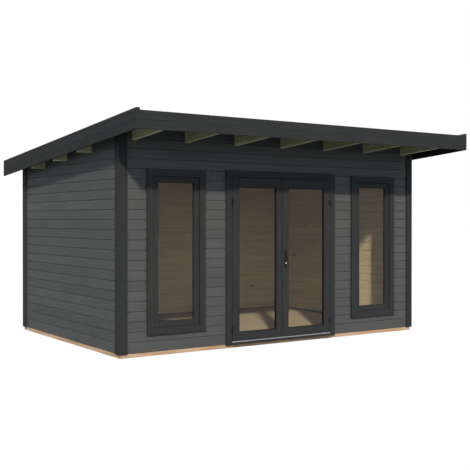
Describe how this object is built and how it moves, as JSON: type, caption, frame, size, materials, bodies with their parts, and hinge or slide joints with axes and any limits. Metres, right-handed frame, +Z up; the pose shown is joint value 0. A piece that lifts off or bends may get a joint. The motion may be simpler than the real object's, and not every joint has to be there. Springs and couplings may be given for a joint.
{
  "type": "garden shed",
  "caption": "Timber garden shed with a single-slope roof, deep front overhang on rafters, a glazed double door and tall fixed windows.",
  "frame": {"origin": "on the ground under the middle of the floor, on the underside of the middle joist", "axes": "+X to the right along the front, +Y to the back, +Z up"},
  "size_m": [4.89, 4.035, 2.6678],
  "materials": {
    "dark_trim": "matt opaque wood stain",
    "wall_paint": "matt opaque wood stain",
    "bare_pine": "planed, unfinished",
    "floor_pine": "planed, unfinished",
    "green_pine": "planed, pressure treated",
    "glass": "clear",
    "felt": "mineral roofing felt",
    "threshold_metal": "mill finish",
    "dark_metal": "satin",
    "lock_steel": "satin"
  },
  "bodies": {
    "shed": {"base_beam_front": "bare_pine", "base_beam_back": "bare_pine", "floor_joists": "bare_pine", "floor": "floor_pine", "front_wall_left": "wall_paint", "front_wall_right": "wall_paint", "front_wall_over_door": "wall_paint", "left_wall": "wall_paint", "right_wall": "wall_paint", "back_wall": "wall_paint", "corner_trim_front_left": "dark_trim", "corner_trim_front_right": "dark_trim", "corner_trim_back_left": "dark_trim", "corner_trim_back_right": "dark_trim", "front_fascia": "dark_trim", "back_fascia": "dark_trim", "left_fascia": "dark_trim", "right_fascia": "dark_trim", "left_verge_strip": "dark_trim", "right_verge_strip": "dark_trim", "door_frame": "dark_trim", "door_stops": "dark_trim", "door_casing": "dark_trim", "door_sill": "dark_trim", "left_window_casing": "dark_trim", "left_window_frame": "dark_trim", "left_window_sash": "dark_trim", "right_window_casing": "dark_trim", "right_window_frame": "dark_trim", "right_window_sash": "dark_trim", "purlins": "green_pine", "front_rafters": "green_pine", "roof_deck": "green_pine", "roofing_felt": "felt", "threshold": "threshold_metal", "left_window_glass": "glass", "right_window_glass": "glass", "hinge_frame_halves": "dark_metal"},
    "left_door": {"left_door_leaf": "dark_trim", "left_door_glass": "glass", "left_hinge_leaf_halves": "dark_metal"},
    "right_door": {"right_door_leaf": "dark_trim", "right_door_glass": "glass", "right_hinge_leaf_halves": "dark_metal", "door_handle": "dark_metal", "lock_cylinder": "lock_steel"}
  },
  "joints": [
    {"name": "left_door_swing", "type": "hinge", "parent": "shed", "child": "left_door", "pos_m": [-0.7585, -1.535, 0], "axis": [0, 0, -1], "range_deg": [0, 160]},
    {"name": "right_door_swing", "type": "hinge", "parent": "shed", "child": "right_door", "pos_m": [0.7585, -1.535, 0], "axis": [0, 0, 1], "range_deg": [0, 160]}
  ]
}
